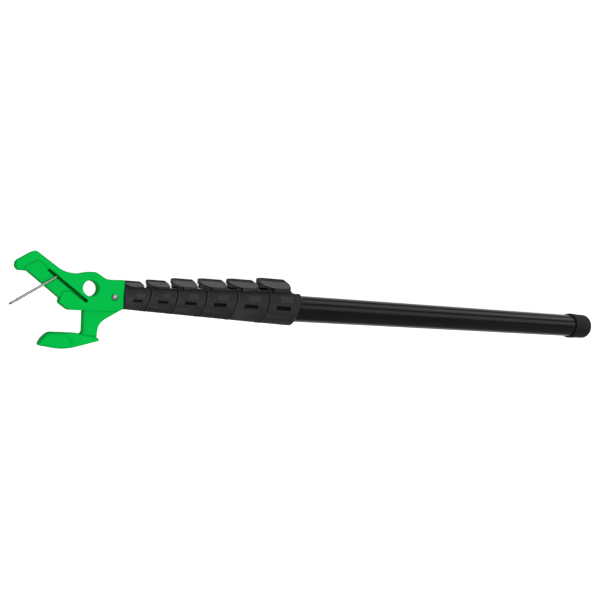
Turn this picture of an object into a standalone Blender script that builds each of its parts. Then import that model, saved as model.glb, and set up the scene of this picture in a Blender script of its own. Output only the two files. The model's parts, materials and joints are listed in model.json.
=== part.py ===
"""Telescopic long-reach hook pole, closed up and lying flat.

The pole's axis is X. The origin is the centre of the end cap's flat end, and the hook is at the far
end of +X. +Z is the face normal of the flat hook, the flip levers point to -Y, and the hook's foot
points to +Y. All the sizes below are in millimetres, and MM turns them into metres.
"""
import math

import bmesh
import bpy
from mathutils import Vector

MM = 0.001
GAP = 0.3            # between pieces that touch
SEGMENTS = 32        # round a tube

# Tubes: number 1 is the thinnest and carries the hook, number 7 is the outer tube.
TUBE_COUNT = 7
OUTER_TUBE_DIAMETER = 35.0
TUBE_DIAMETER_STEP = 3.1
TUBE_WALL = 1.2
TAIL_STAGGER = 16.0          # each inner tube starts this much farther in than the next one out
TAIL_PLUG_LENGTH = 10.0
TAIL_FLANGE_LENGTH = 3.0
FIRST_TAIL_X = 23.0          # tail of tube_6

# End cap
CAP_DIAMETER = 39.1
CAP_LENGTH = 36.0
CAP_FLOOR = 4.0
CAP_EDGE = 3.0

# Clamps: number k sits on the front of tube k + 1 and grips tube k.
CLAMP_COUNT = 6
CLAMP_TAIL_X = 551.9
CLAMP_1_LENGTH = 28.4
CLAMP_LENGTH_STEP = 3.7
CLAMP_SPACING = 0.6
CLAMP_RADIUS = 22.3          # at CLAMP_RADIUS_X
CLAMP_RADIUS_X = 565.9
CLAMP_TAPER = 0.0428         # radius lost per millimetre towards the hook
CLAMP_SLANT = 0.25           # the end faces lean back towards the lever side
CLAMP_LIP = 5.0              # front wall that the outer tube butts against
CLAMP_BUTT_CHAMFER = 4.0
BUTT_SLANT = 0.42            # the largest clamp's rear leans more, and flattens out at both sides
BUTT_LEAN_LIMITS = (-5.0, 3.0)
BUTT_SETBACK = 0.6
CLAMP_EDGE = 0.6
SEAT_FOOT_DROP = 2.2         # how far the seat and the deck sink into the barrel
EAR_FOOT_DROP = 0.8
DECK_LEAD = 2.5              # largest clamp's deck behind the lever's hub
SCOOP_DEPTH = 2.6            # hollow beside the tip's rest, under the lever
SCOOP_LAP = 3.0
HEEL_WALL = 1.1              # left over the tube where the barrel is cut away behind the largest lever
SIDE_SLOT_HALF = (10.0, 2.6)

CLAMP_DECK_RISE = 0.35       # flat strip under the lever, above the barrel
SLOT_SETBACK = 15.1          # middle of clamp 1's side slot, behind the clamp's front
SLOT_SETBACK_STEP = 1.25
SLOT_DROP = 2.4              # of clamp 1's slot, towards the foot
SLOT_DROP_STEP = 0.28

# Flip levers. Sizes that have no step are for the largest clamp, and shrink with the tube.
LEVER_WIDTH = 17.0
LEVER_1_REACH = -0.5         # tip beyond the clamp's front
LEVER_REACH_STEP = 1.5
PIVOT_1_SETBACK = 20.6       # pivot behind the clamp's front
PIVOT_SETBACK_STEP = 2.0
HUB_RADIUS = 5.6
EAR_RADIUS = 3.4
EAR_WIDTH = 2.7
CHEEK_WIDTH = 2.2
PIN_RADIUS = 1.5
CAM_OFFSET = 0.9
SHOE_HALF_LENGTH = 3.6
UNDERCUT_1_LENGTH = 9.0      # finger ramp under the tip
UNDERCUT_LENGTH_STEP = 1.6
UNDERCUT_RISE = 5.5
KNEE_ALONG = 0.66            # where the ramp steepens, as shares of its length and rise
KNEE_RISE = 0.5
TIP_CORNER = 3.0             # radius in plan
TIP_EDGE = 2.0
LEVER_CHAMFER = 2.4          # along both long top edges
HEEL_SLOPE_START = 3.6       # ahead of the pivot, where the lever's top starts to slope down to its heel
REST_CLEARANCE = 0.15
REST_LAP = 1.5
RIB_HALF_WIDTH = 3.6         # rest under the lever's tip
STOP_LENGTH = 0.5            # behind the lever's hub
STOP_DROP = 2.2              # below the pivot
SEAT_RISE = 0.3              # lever seat above the barrel, smallest clamp
SEAT_RISE_STEP = 0.44
LEVER_TOPS = (20.9, 24.0, 28.0, 30.4, 33.0, 37.0)    # above the pole's axis

# Hook head: outlines are corners (forward, up, corner radius) from the middle of the neck's rear face,
# with up towards the lever side.
HEAD_REAR_X = 781.2
UPPER_HALF_THICKNESS = 10.0
WEB_HALF_THICKNESS = 8.8
FOOT_HALF_THICKNESS = 11.0
SOCKET_DEPTH = 27.0
SCREW_FORWARD = 10.9
EYE_CENTRE = (38.3, 8.8)
EYE_RADIUS = 9.8
PANEL_DEPTH = 1.8
SLOT_ENDS = ((85.3, 25.6), (43.0, -5.9))
SLOT_WIDTH = 3.6
SLOT_DEPTH = 13.0
GATE_PIVOT = (77.0, 19.2)
GATE_ANGLE = -34.6           # degrees from straight ahead
GATE_LENGTH = 59.3
GATE_RADIUS = 1.5
GATE_LEG_RADIUS = 0.8

UPPER_OUTLINE = (
    (0.0, 20.9, 0.6), (21.0, 20.0, 14.0), (33.5, 27.8, 10.0), (43.5, 27.5, 14.0), (56.0, 24.2, 24.0),
    (70.0, 25.7, 28.0), (101.4, 47.4, 5.0), (120.4, 34.6, 7.0), (121.6, 23.6, 6.0), (108.0, 24.0, 3.0),
    (71.4, -4.2, 0.5), (73.2, -9.0, 3.5), (61.5, -17.2, 9.0), (7.5, -16.5, 2.0), (0.0, -12.3, 0.6),
)
WEB_OUTLINE = (
    (0.3, -8.0, 0.0), (44.0, -10.0, 0.0), (43.6, -42.6, 3.5), (49.0, -43.2, 1.0), (49.0, -51.0, 0.0),
    (30.0, -51.0, 0.0), (29.2, -31.6, 9.0), (0.3, -12.2, 0.0),
)
FOOT_OUTLINE = (
    (44.0, -44.5, 2.0), (52.0, -42.6, 8.0), (82.0, -42.6, 9.0), (88.8, -50.5, 8.0), (91.8, -58.2, 1.8),
    (64.0, -62.6, 60.0), (24.2, -50.4, 1.6), (29.0, -46.6, 1.5),
)
PANEL_OUTLINE = (
    (110.0, 22.0, 0.0), (113.0, 27.0, 0.5), (97.6, 37.4, 6.0), (86.5, 28.2, 1.0), (43.4, -4.6, 0.0),
    (45.2, -7.0, 0.0), (61.0, 3.6, 3.0), (69.6, 3.2, 4.0), (72.6, -6.0, 0.0), (96.0, -6.0, 0.0),
)


# --- shapes -------------------------------------------------------------------------------------

def rounded(corners, arc_step=18.0):
    """Outline through the corners (x, y, radius), each corner turned into an arc of its radius."""
    points = []
    count = len(corners)
    for index, (x, y, radius) in enumerate(corners):
        corner = Vector((x, y))
        before = (Vector(corners[index - 1][:2]) - corner).normalized()
        after = (Vector(corners[(index + 1) % count][:2]) - corner).normalized()
        if radius == 0.0:
            points.append((x, y))
            continue
        opening = before.angle(after)
        turn = math.pi - opening
        reach = radius / math.tan(opening / 2)
        centre = corner + (before + after).normalized() * radius / math.sin(opening / 2)
        start = corner + before * reach - centre
        sign = 1.0 if before.x * after.y - before.y * after.x < 0 else -1.0
        steps = max(2, math.ceil(math.degrees(turn) / arc_step))
        for step in range(steps + 1):
            angle = sign * turn * step / steps
            spoke_x = start.x * math.cos(angle) - start.y * math.sin(angle)
            spoke_y = start.x * math.sin(angle) + start.y * math.cos(angle)
            points.append((centre.x + spoke_x, centre.y + spoke_y))
    return points


def arc(centre, radius, first, last, steps):
    """Points of an arc from the first to the last angle, in degrees."""
    points = []
    for step in range(steps + 1):
        angle = math.radians(first + (last - first) * step / steps)
        points.append((centre[0] + radius * math.cos(angle), centre[1] + radius * math.sin(angle)))
    return points


def finished(name, mesh_builder):
    """Object made of a bmesh in millimetres, with its faces pointing out."""
    bmesh.ops.recalc_face_normals(mesh_builder, faces=mesh_builder.faces)
    bmesh.ops.scale(mesh_builder, vec=(MM, MM, MM), verts=mesh_builder.verts)
    mesh = bpy.data.meshes.new(name)
    mesh_builder.to_mesh(mesh)
    mesh_builder.free()
    solid = bpy.data.objects.new(name, mesh)
    bpy.context.scene.collection.objects.link(solid)
    return solid


def prism(name, outline, z_low, z_high):
    """Flat plate: an outline of (forward, up) points between two heights. Up is -Y."""
    builder = bmesh.new()
    corners = [builder.verts.new((x, -up, z_low)) for x, up in outline]
    face = builder.faces.new(corners)
    side = bmesh.ops.extrude_face_region(builder, geom=[face])
    moved = [item for item in side["geom"] if isinstance(item, bmesh.types.BMVert)]
    bmesh.ops.translate(builder, verts=moved, vec=(0, 0, z_high - z_low))
    return finished(name, builder)


def block(name, x_range, up_range, z_range):
    """Box between ranges of forward, up and Z."""
    (x0, x1), (up0, up1) = x_range, up_range
    return prism(name, ((x0, up0), (x1, up0), (x1, up1), (x0, up1)), *z_range)


def turned(name, profile, segments=SEGMENTS, closed=False, reshape=None):
    """Solid turned about X from (x, radius) points. An open profile starts and ends on the axis."""
    builder = bmesh.new()
    rings = []
    for x, radius in profile:
        count = segments if radius > 0 else 1
        ring = []
        for index in range(count):
            angle = 2 * math.pi * index / segments
            point = Vector((x, radius * math.cos(angle), radius * math.sin(angle)))
            ring.append(builder.verts.new(reshape(point) if reshape else point))
        rings.append(ring)
    pairs = list(zip(rings, rings[1:]))
    if closed:
        pairs.append((rings[-1], rings[0]))
    for first, second in pairs:
        for index in range(segments):
            following = (index + 1) % segments
            if len(first) == 1:
                builder.faces.new((first[0], second[index], second[following]))
            elif len(second) == 1:
                builder.faces.new((first[index], first[following], second[0]))
            else:
                builder.faces.new((first[index], first[following], second[following], second[index]))
    return finished(name, builder)


def drum(name, radius, z_low, z_high, centre=(0.0, 0.0), segments=16):
    """Round bar along Z."""
    outline = arc(centre, radius, 0, 360 - 360 / segments, segments - 1)
    return prism(name, outline, z_low, z_high)


def combine(target, tool, operation):
    """Join the tool to the target, or cut it away, and keep the tool as a hidden guide."""
    tool.parent = target
    tool.hide_render = True
    tool.display_type = "WIRE"
    modifier = target.modifiers.new(tool.name, "BOOLEAN")
    modifier.operation = operation
    modifier.solver = "EXACT"
    modifier.object = tool


def cut(target, *tools):
    for tool in tools:
        combine(target, tool, "DIFFERENCE")


def join(target, *tools):
    for tool in tools:
        combine(target, tool, "UNION")


def make_material(name, colour, roughness, metallic=0.0):
    material = bpy.data.materials.new(name)
    material.use_nodes = True
    shader = material.node_tree.nodes["Principled BSDF"]
    shader.inputs["Base Color"].default_value = (*colour, 1.0)
    shader.inputs["Roughness"].default_value = roughness
    shader.inputs["Metallic"].default_value = metallic
    return material


def place(solid, parent, material, x, up=0.0, z=0.0, round_angle=35.0):
    """Put a solid where it belongs, with its material and smooth round faces."""
    solid.parent = parent
    solid.location = (x * MM, -up * MM, z * MM)
    solid.data.materials.append(material)
    solid.data.shade_smooth()
    solid.data.set_sharp_from_angle(angle=math.radians(round_angle))
    return solid


# --- sizes worked out from the driving dimensions ---------------------------------------------------

def tube_radius(number):
    return (OUTER_TUBE_DIAMETER - TUBE_DIAMETER_STEP * (TUBE_COUNT - number)) / 2


def tail_x(number):
    """Rear end of an inner tube."""
    return FIRST_TAIL_X + TAIL_STAGGER * (TUBE_COUNT - 1 - number)


def clamp_length(number):
    return CLAMP_1_LENGTH + CLAMP_LENGTH_STEP * (number - 1)


def clamp_rear_x(number):
    x = CLAMP_TAIL_X
    for larger in range(CLAMP_COUNT, number, -1):
        x += clamp_length(larger) + CLAMP_SPACING
    return x


def clamp_front_x(number):
    return clamp_rear_x(number) + clamp_length(number)


def barrel_radius(x):
    return CLAMP_RADIUS - CLAMP_TAPER * (x - CLAMP_RADIUS_X)


def clamp_scale(number):
    return tube_radius(number + 1) * 2 / OUTER_TUBE_DIAMETER


class LeverSizes:
    """Places of one clamp's lever, ears, pin and shoe. Forward is along X from the clamp's rear."""

    def __init__(self, number):
        scale = clamp_scale(number)
        front = clamp_front_x(number)
        self.scale = scale
        self.half_width = LEVER_WIDTH * scale / 2
        middle_radius = barrel_radius((clamp_rear_x(number) + front) / 2)
        self.seat = middle_radius + SEAT_RISE + SEAT_RISE_STEP * (number - 1)
        self.bottom = self.seat + GAP
        self.top = LEVER_TOPS[number - 1]
        self.hub = HUB_RADIUS * scale
        self.pivot_x = front - PIVOT_1_SETBACK - PIVOT_SETBACK_STEP * (number - 1)
        self.pivot_up = self.bottom + self.hub
        self.tip_x = front + LEVER_1_REACH + LEVER_REACH_STEP * (number - 1)
        self.undercut = UNDERCUT_1_LENGTH + UNDERCUT_LENGTH_STEP * (number - 1)
        self.tip_rise = UNDERCUT_RISE * scale
        self.ear = EAR_RADIUS * scale
        self.cheek_inner = self.half_width - CHEEK_WIDTH * scale
        self.ear_outer = self.cheek_inner - GAP
        self.ear_inner = self.ear_outer - EAR_WIDTH * scale
        self.cam_half = self.ear_inner - GAP
        self.pin = max(PIN_RADIUS * scale, 0.9)
        self.cam_offset = CAM_OFFSET * scale
        self.shoe_half_length = SHOE_HALF_LENGTH * scale
        self.shoe_half_width = self.cam_half - 0.5 * scale


# --- pieces -----------------------------------------------------------------------------------------

def build_tube(number, parent, material):
    """Drawn tube with the shoe's window near its front, or the screw's hole in the thinnest one."""
    radius = tube_radius(number)
    inner = radius - TUBE_WALL
    if number == TUBE_COUNT:
        rear = CAP_FLOOR + GAP
    else:
        rear = tail_x(number)
    if number == 1:
        front = HEAD_REAR_X + SOCKET_DEPTH - 1.0
    else:
        front = clamp_front_x(number - 1) - CLAMP_LIP * clamp_scale(number - 1) - GAP
    profile = ((rear, inner), (rear, radius), (front, radius), (front, inner))
    tube = turned(f"tube_{number}", profile, closed=True)
    if number == 1:
        screw_x = HEAD_REAR_X + SCREW_FORWARD
        cut(tube, drum("tube_screw_hole", 2.3, 0.0, radius + 2.0, (screw_x, 0.0)))
    else:
        lever = LeverSizes(number - 1)
        reach = lever.shoe_half_length + 2 * GAP
        width = lever.shoe_half_width + 2 * GAP
        window = block(f"tube_window_{number}", (lever.pivot_x - reach, lever.pivot_x + reach),
                       (inner - 3.0, radius + 2.0), (-width, width))
        cut(tube, window)
    return place(tube, parent, material, 0.0)


def build_tail_bush(number, parent, material):
    """Flanged guide bush pushed into the tail of an inner tube. Its flange rides in the next tube."""
    outer = tube_radius(number) - TUBE_WALL - GAP
    flange = tube_radius(number) + 0.1
    bore = outer - 2.0
    rear = -TAIL_FLANGE_LENGTH - GAP
    profile = ((rear, bore), (rear, flange - 0.5), (rear + 0.5, flange), (-GAP, flange), (-GAP, outer),
               (TAIL_PLUG_LENGTH, outer), (TAIL_PLUG_LENGTH, bore))
    bush = turned(f"tail_bush_{number}", profile, closed=True)
    return place(bush, parent, material, tail_x(number))


def build_end_cap(parent, material):
    outer = CAP_DIAMETER / 2
    bore = tube_radius(TUBE_COUNT) + GAP
    edge = arc((CAP_EDGE, outer - CAP_EDGE), CAP_EDGE, 180, 90, 4)
    profile = [(0.0, 0.0)] + edge
    profile += [(CAP_LENGTH - 1.0, outer), (CAP_LENGTH, outer - 1.0), (CAP_LENGTH, bore)]
    profile += [(CAP_FLOOR, bore), (CAP_FLOOR, 0.0)]
    cap = turned("end_cap", profile)
    return place(cap, parent, material, 0.0)


def build_clamp(number, parent, material):
    """Moulded barrel with slanted ends, a seat and two ears for the lever, and a slot on each side."""
    lever = LeverSizes(number)
    scale = lever.scale
    rear_x = clamp_rear_x(number)
    length = clamp_length(number)
    chamfer = CLAMP_BUTT_CHAMFER if number == CLAMP_COUNT else CLAMP_EDGE
    rear_radius = barrel_radius(rear_x + chamfer)
    front_radius = barrel_radius(rear_x + length)
    outer_bore = tube_radius(number + 1) + GAP
    inner_bore = tube_radius(number) + 0.35
    shoulder = length - CLAMP_LIP * scale
    profile = ((0.0, outer_bore), (0.0, rear_radius - chamfer), (chamfer, rear_radius),
               (length - CLAMP_EDGE, front_radius), (length, front_radius - CLAMP_EDGE),
               (length, inner_bore), (shoulder, inner_bore), (shoulder, outer_bore))
    front_slant = 0.0 if number == 1 else CLAMP_SLANT

    def lean_ends(point):
        if point.x < chamfer + 0.01 and number == CLAMP_COUNT:
            lean = max(BUTT_LEAN_LIMITS[0], min(BUTT_LEAN_LIMITS[1], BUTT_SLANT * point.y))
            point.x += lean - BUTT_SETBACK
        elif point.x < chamfer + 0.01:
            point.x += CLAMP_SLANT * point.y
        elif point.x > length - CLAMP_EDGE - 0.01:
            point.x += front_slant * point.y
        return point

    clamp = turned(f"clamp_{number}", profile, closed=True, reshape=lean_ends)
    pivot_x = lever.pivot_x - rear_x
    half = lever.half_width
    seat_foot = math.sqrt(rear_radius ** 2 - half ** 2) - SEAT_FOOT_DROP * scale
    ramp_x = lever.tip_x - lever.undercut - rear_x

    def deck_up(x):
        return min(barrel_radius(rear_x + x) + CLAMP_DECK_RISE, lever.seat - 0.1)

    def rear_face(up):
        return GAP - CLAMP_SLANT * up

    def front_face(up):
        return length - GAP - front_slant * up

    deck_rear = rear_face(deck_up(0.0))
    deck_front = front_face(deck_up(length))
    if number == CLAMP_COUNT:
        deck_rear = pivot_x - lever.hub - DECK_LEAD
    deck = prism(f"clamp_deck_{number}",
                 ((deck_rear + CLAMP_SLANT * 4.0, seat_foot), (deck_front + front_slant * 4.0, seat_foot),
                  (deck_front, deck_up(deck_front)), (deck_rear, deck_up(deck_rear))), -half, half)

    stop_reach = lever.hub + GAP
    crescent = arc((pivot_x, lever.pivot_up), stop_reach, 262, 202, 6)
    stop_x = pivot_x - stop_reach - STOP_LENGTH * scale
    seat = prism(f"clamp_seat_{number}",
                 [(stop_x, seat_foot + 0.3), (ramp_x, seat_foot + 0.3), (ramp_x, lever.seat),
                  (pivot_x, lever.seat)] + crescent[:-1]
                 + [(crescent[-1][0], lever.pivot_up - STOP_DROP * scale),
                    (stop_x, lever.pivot_up - (STOP_DROP + 0.6) * scale)], -half, half)

    ears = []
    for side, low, high in (("far", -lever.ear_outer, -lever.ear_inner),
                            ("near", lever.ear_inner, lever.ear_outer)):
        crown = arc((pivot_x, lever.pivot_up), lever.ear, 0, 180, 8)
        foot = lever.seat - EAR_FOOT_DROP * scale
        outline = [(pivot_x + lever.ear, foot)] + crown + [(pivot_x - lever.ear, foot)]
        ears.append(prism(f"clamp_ear_{side}_{number}", outline, low, high))

    tip = lever.tip_x - rear_x
    rest_rear = ramp_x - (SCOOP_LAP + REST_LAP) * scale
    rest_front = tip - 1.0 * scale
    knee_x = ramp_x + KNEE_ALONG * lever.undercut
    knee_up = lever.seat + KNEE_RISE * lever.tip_rise - REST_CLEARANCE
    end_rise = KNEE_RISE + (1 - KNEE_RISE) * (rest_front - knee_x) / (tip - knee_x)
    rest_top = lever.seat + end_rise * lever.tip_rise - REST_CLEARANCE
    rest_foot = deck_front - 0.8
    over_next = barrel_radius(rear_x + rest_foot) + CLAMP_DECK_RISE + GAP
    over_tip = barrel_radius(rear_x + rest_front) + CLAMP_DECK_RISE + GAP
    rest = prism(f"clamp_rest_{number}",
                 ((rest_rear, seat_foot + 0.6), (rest_foot, seat_foot + 0.6), (rest_foot, over_next),
                  (rest_front, over_tip), (rest_front, rest_top), (knee_x, knee_up),
                  (ramp_x, lever.seat - REST_CLEARANCE), (rest_rear, lever.seat - REST_CLEARANCE)),
                 -RIB_HALF_WIDTH * scale, RIB_HALF_WIDTH * scale)
    join(clamp, deck, seat, *ears, rest)

    scoop_x = ramp_x - SCOOP_LAP * scale
    scoop_floor = deck_up(scoop_x) - SCOOP_DEPTH * scale
    scoops = []
    for side, low, high in (("far", -half - 4.0, -RIB_HALF_WIDTH * scale),
                            ("near", RIB_HALF_WIDTH * scale, half + 4.0)):
        scoops.append(prism(f"clamp_scoop_{side}_{number}",
                            ((scoop_x, scoop_floor), (deck_front + 6.0, deck_up(deck_front)),
                             (deck_front + 6.0, lever.seat + 6.0), (scoop_x, lever.seat + 6.0)),
                            low, high))
    reach = lever.shoe_half_length + GAP
    width = lever.shoe_half_width + GAP
    window = block(f"clamp_window_{number}", (pivot_x - reach, pivot_x + reach),
                   (inner_bore - 2.0, lever.seat + 1.0), (-width, width))
    pin_hole = drum(f"clamp_pin_hole_{number}", lever.pin + GAP, -lever.half_width - 1.0,
                    lever.half_width + 1.0, (pivot_x, lever.pivot_up))
    slot_middle = length - SLOT_SETBACK - SLOT_SETBACK_STEP * (number - 1)
    slot_up = SLOT_DROP_STEP * (number - 1) - SLOT_DROP
    slot_half = SIDE_SLOT_HALF[0] * scale
    slot_height = SIDE_SLOT_HALF[1] * scale
    slot = block(f"clamp_slot_{number}", (slot_middle - slot_half, slot_middle + slot_half),
                 (slot_up - slot_height, slot_up + slot_height),
                 (-barrel_radius(0) - 5.0, barrel_radius(0) + 5.0))
    cut(clamp, *scoops, window, pin_hole, slot)
    if number == CLAMP_COUNT:
        low = outer_bore + HEEL_WALL
        heel = prism(f"clamp_heel_{number}",
                     ((-12.0, low), (stop_x - 4.4, low), (stop_x - 2.2, low + 1.2), (stop_x - 0.8, low + 3.4),
                      (stop_x - 0.4, low + 12.0), (-12.0, low + 12.0)), -half - 3.0, half + 3.0)
        cut(clamp, heel)
    return place(clamp, parent, material, rear_x)


def build_lever(number, parent, material):
    """Flip lever: two cheeks outside the clamp's ears and a cam between them, closed along the pole."""
    size = LeverSizes(number)
    scale = size.scale
    bottom = -size.hub
    top = size.top - size.pivot_up
    tip = size.tip_x - size.pivot_x
    edge = TIP_EDGE * scale
    outline = [(tip - size.undercut, bottom),
               (tip - size.undercut * (1 - KNEE_ALONG), bottom + size.tip_rise * KNEE_RISE),
               (tip, bottom + size.tip_rise), (tip, top - edge), (tip - 0.3 * edge, top - 0.3 * edge),
               (tip - edge, top), (HEEL_SLOPE_START * scale, top), (-size.hub, -0.8 * scale)]
    outline += arc((0.0, 0.0), size.hub, 190, 270, 5)
    lever = prism(f"lever_{number}", outline, -size.half_width, size.half_width)

    pockets = []
    for side, low, high in (("far", -size.cheek_inner, -size.cam_half),
                            ("near", size.cam_half, size.cheek_inner)):
        roof = size.ear + 0.4
        pockets.append(block(f"lever_pocket_{side}_{number}", (-size.hub - 4.0, size.ear + 0.4),
                             (bottom - 2.0, roof), (low, high)))
    cam_radius = size.hub - size.cam_offset - 0.1
    relief_outline = arc((0.0, -size.cam_offset), cam_radius, 262, 172, 7)
    relief_outline += [(-2 * size.hub, relief_outline[-1][1]), (-2 * size.hub, -2 * size.hub),
                       (relief_outline[0][0], -2 * size.hub)]
    relief = prism(f"lever_cam_relief_{number}", relief_outline, -size.cam_half - 0.1,
                   size.cam_half + 0.1)
    pin_hole = drum(f"lever_pin_hole_{number}", size.pin + GAP, -size.half_width - 1.0,
                    size.half_width + 1.0)
    corner = TIP_CORNER * scale
    corners = []
    for side in (-1, 1):
        quarter = arc((tip - corner, size.half_width - corner), corner, 90, 0, 4)
        outline = quarter + [(tip + 1.0, size.half_width - corner), (tip + 1.0, size.half_width + 1.0),
                             (tip - corner, size.half_width + 1.0)]
        rounding = prism(f"lever_corner_{side}_{number}", outline, bottom - 1.0, top + 1.0)
        rounding.rotation_euler = (side * math.pi / 2, 0.0, 0.0)
        corners.append(rounding)
    chamfer = LEVER_CHAMFER * scale / math.sqrt(2)
    for side in (-1, 1):
        shaving = block(f"lever_chamfer_{side}_{number}", (-2 * size.hub, tip + 2.0), (-chamfer, chamfer),
                        (-chamfer, chamfer))
        shaving.rotation_euler = (math.pi / 4, 0.0, 0.0)
        shaving.location = (0.0, -top * MM, side * size.half_width * MM)
        corners.append(shaving)
    cut(lever, *pockets, relief, pin_hole, *corners)
    return place(lever, parent, material, size.pivot_x, size.pivot_up, round_angle=25.0)


def build_lever_pin(number, parent, material):
    size = LeverSizes(number)
    half = size.half_width - 0.4
    pin = drum(f"lever_pin_{number}", size.pin, -half, half)
    return place(pin, parent, material, size.pivot_x, size.pivot_up)


def build_brake_shoe(number, parent, material):
    """Shoe under the cam, with its foot hollowed to the tube that it grips."""
    size = LeverSizes(number)
    foot = tube_radius(number) - 0.6
    shoe = block(f"brake_shoe_{number}", (-size.shoe_half_length, size.shoe_half_length),
                 (foot - size.seat, 0.0), (-size.shoe_half_width, size.shoe_half_width))
    length = size.shoe_half_length + 1.0
    grip = tube_radius(number) + GAP
    profile = ((-length, 0.0), (-length, grip), (length, grip), (length, 0.0))
    bed = turned(f"brake_shoe_bed_{number}", profile)
    cut(shoe, bed)
    bed.location = (0.0, size.seat * MM, 0.0)
    return place(shoe, parent, material, size.pivot_x, size.seat)


def build_head(parent, material):
    """One moulded piece: beak and neck, the thinner web under them, and the wider foot."""
    thick = UPPER_HALF_THICKNESS
    head = prism("hook_head", rounded(UPPER_OUTLINE), -thick, thick)
    web = prism("head_web", rounded(WEB_OUTLINE), -WEB_HALF_THICKNESS, WEB_HALF_THICKNESS)
    foot = prism("head_foot", rounded(FOOT_OUTLINE, 12.0), -FOOT_HALF_THICKNESS, FOOT_HALF_THICKNESS)
    join(head, web, foot)

    bore = tube_radius(1) + GAP
    socket = turned("head_socket", ((-2.0, 0.0), (-2.0, bore), (SOCKET_DEPTH, bore), (SOCKET_DEPTH, 0.0)))
    eye = drum("head_eye", EYE_RADIUS, -thick - 2.0, thick + 2.0, EYE_CENTRE, 28)
    screw_hole = drum("head_screw_hole", 2.3, 0.0, thick + 2.0, (SCREW_FORWARD, 0.0))
    screw_seat = drum("head_screw_seat", 4.3, thick - 1.2, thick + 2.0, (SCREW_FORWARD, 0.0), 20)
    panel = prism("head_panel", rounded(PANEL_OUTLINE), thick - PANEL_DEPTH, thick + 2.0)

    start, end = (Vector(point) for point in SLOT_ENDS)
    along = (end - start).normalized() * SLOT_WIDTH / 2
    across = Vector((-along.y, along.x))
    heading = math.degrees(math.atan2(along.y, along.x))
    slot_outline = arc(start, SLOT_WIDTH / 2, heading + 90, heading + 270, 6)
    slot_outline += arc(end, SLOT_WIDTH / 2, heading - 90, heading + 90, 6)
    slot = prism("head_slot", slot_outline, thick - SLOT_DEPTH, thick + 2.0)

    leg_bore = drum("head_leg_bore", GATE_LEG_RADIUS + GAP, -thick - 2.0, 0.0, GATE_PIVOT)
    clip_seat = drum("head_clip_seat", 3.6, -thick - 2.0, -thick + 2.4, GATE_PIVOT)
    cut(head, socket, eye, screw_hole, screw_seat, panel, slot, leg_bore, clip_seat)
    return place(head, parent, material, HEAD_REAR_X)


def build_head_screw(parent, material):
    """Pan-head screw through the neck and tube_1 into the tip plug, with a cross recess."""
    seat = UPPER_HALF_THICKNESS - 1.2 + GAP
    profile = [(-14.0, 0.0), (-12.6, 1.2), (-11.0, 1.8), (0.0, 1.8), (0.0, 3.8), (0.9, 3.8)]
    profile += [(1.5, 3.3), (1.9, 2.2), (2.05, 0.0)]
    screw = turned("head_screw", profile, 20)
    for index in range(2):
        recess = block(f"screw_recess_{index}", (1.0, 4.0), (-2.2, 2.2), (-0.4, 0.4))
        recess.rotation_euler = (math.pi / 2 * index, 0.0, 0.0)
        cut(screw, recess)
    screw.rotation_euler = (0.0, -math.pi / 2, 0.0)
    return place(screw, parent, material, HEAD_REAR_X + SCREW_FORWARD, 0.0, seat)


def build_tip_plug(parent, material):
    radius = tube_radius(1) - TUBE_WALL - GAP
    profile = ((-11.0, 0.0), (-11.0, radius - 0.6), (-10.4, radius), (12.0, radius), (12.0, 0.0))
    plug = turned("tip_plug", profile, 24)
    cut(plug, drum("plug_screw_hole", 1.8 + GAP, -9.0, 9.0))
    return place(plug, parent, material, HEAD_REAR_X + SCREW_FORWARD)


def build_gate_rod(parent, material):
    """Bent wire: a leg down through the beak, a bend, and a long arm with a rounded end."""
    arm_height = GATE_RADIUS + GAP + 0.2
    leg_end = -(UPPER_HALF_THICKNESS * 2 - PANEL_DEPTH) + 0.6
    bend = 2.5
    stations = [(0.0, leg_end, 0.0, GATE_LEG_RADIUS), (0.0, arm_height - bend, 0.0, GATE_LEG_RADIUS)]
    for degrees in (30, 60, 90):
        turn = math.radians(degrees)
        radius = GATE_LEG_RADIUS + (GATE_RADIUS - GATE_LEG_RADIUS) * degrees / 90
        stations.append((bend * (1 - math.cos(turn)), arm_height - bend * (1 - math.sin(turn)), turn, radius))
    for short, share in ((1.2, 1.0), (0.4, 0.8), (0.0, 0.45)):
        stations.append((GATE_LENGTH - short, arm_height, math.pi / 2, GATE_RADIUS * share))
    builder = bmesh.new()
    sides = 12
    rings = []
    for forward, height, turn, radius in stations:
        ring = []
        for index in range(sides):
            angle = 2 * math.pi * index / sides
            across = radius * math.cos(angle)
            side = radius * math.sin(angle)
            ring.append(builder.verts.new((forward + across * math.cos(turn), side,
                                           height - across * math.sin(turn))))
        rings.append(ring)
    for first, second in zip(rings, rings[1:]):
        for index in range(sides):
            following = (index + 1) % sides
            builder.faces.new((first[index], first[following], second[following], second[index]))
    builder.faces.new(rings[0])
    builder.faces.new(rings[-1])
    rod = finished("gate_rod", builder)
    rod.rotation_euler = (0.0, 0.0, math.radians(-GATE_ANGLE))
    height = UPPER_HALF_THICKNESS - PANEL_DEPTH
    return place(rod, parent, material, HEAD_REAR_X + GATE_PIVOT[0], GATE_PIVOT[1], height)


def ring_along_z(name, bore, outer, length, segments):
    """Washer or sleeve about Z, built about X and stood up."""
    profile = ((0.0, bore), (0.0, outer), (length, outer), (length, bore))
    ring = turned(name, profile, segments, closed=True)
    ring.rotation_euler = (0.0, -math.pi / 2, 0.0)
    return ring


def build_gate_clip(parent, material):
    """Push-on ring that holds the gate rod's leg at the back of the beak."""
    clip = ring_along_z("gate_clip", GATE_LEG_RADIUS + GAP, 3.2, 1.2, 20)
    height = -UPPER_HALF_THICKNESS + 2.4 - GAP - 1.2
    return place(clip, parent, material, HEAD_REAR_X + GATE_PIVOT[0], GATE_PIVOT[1], height)


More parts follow.
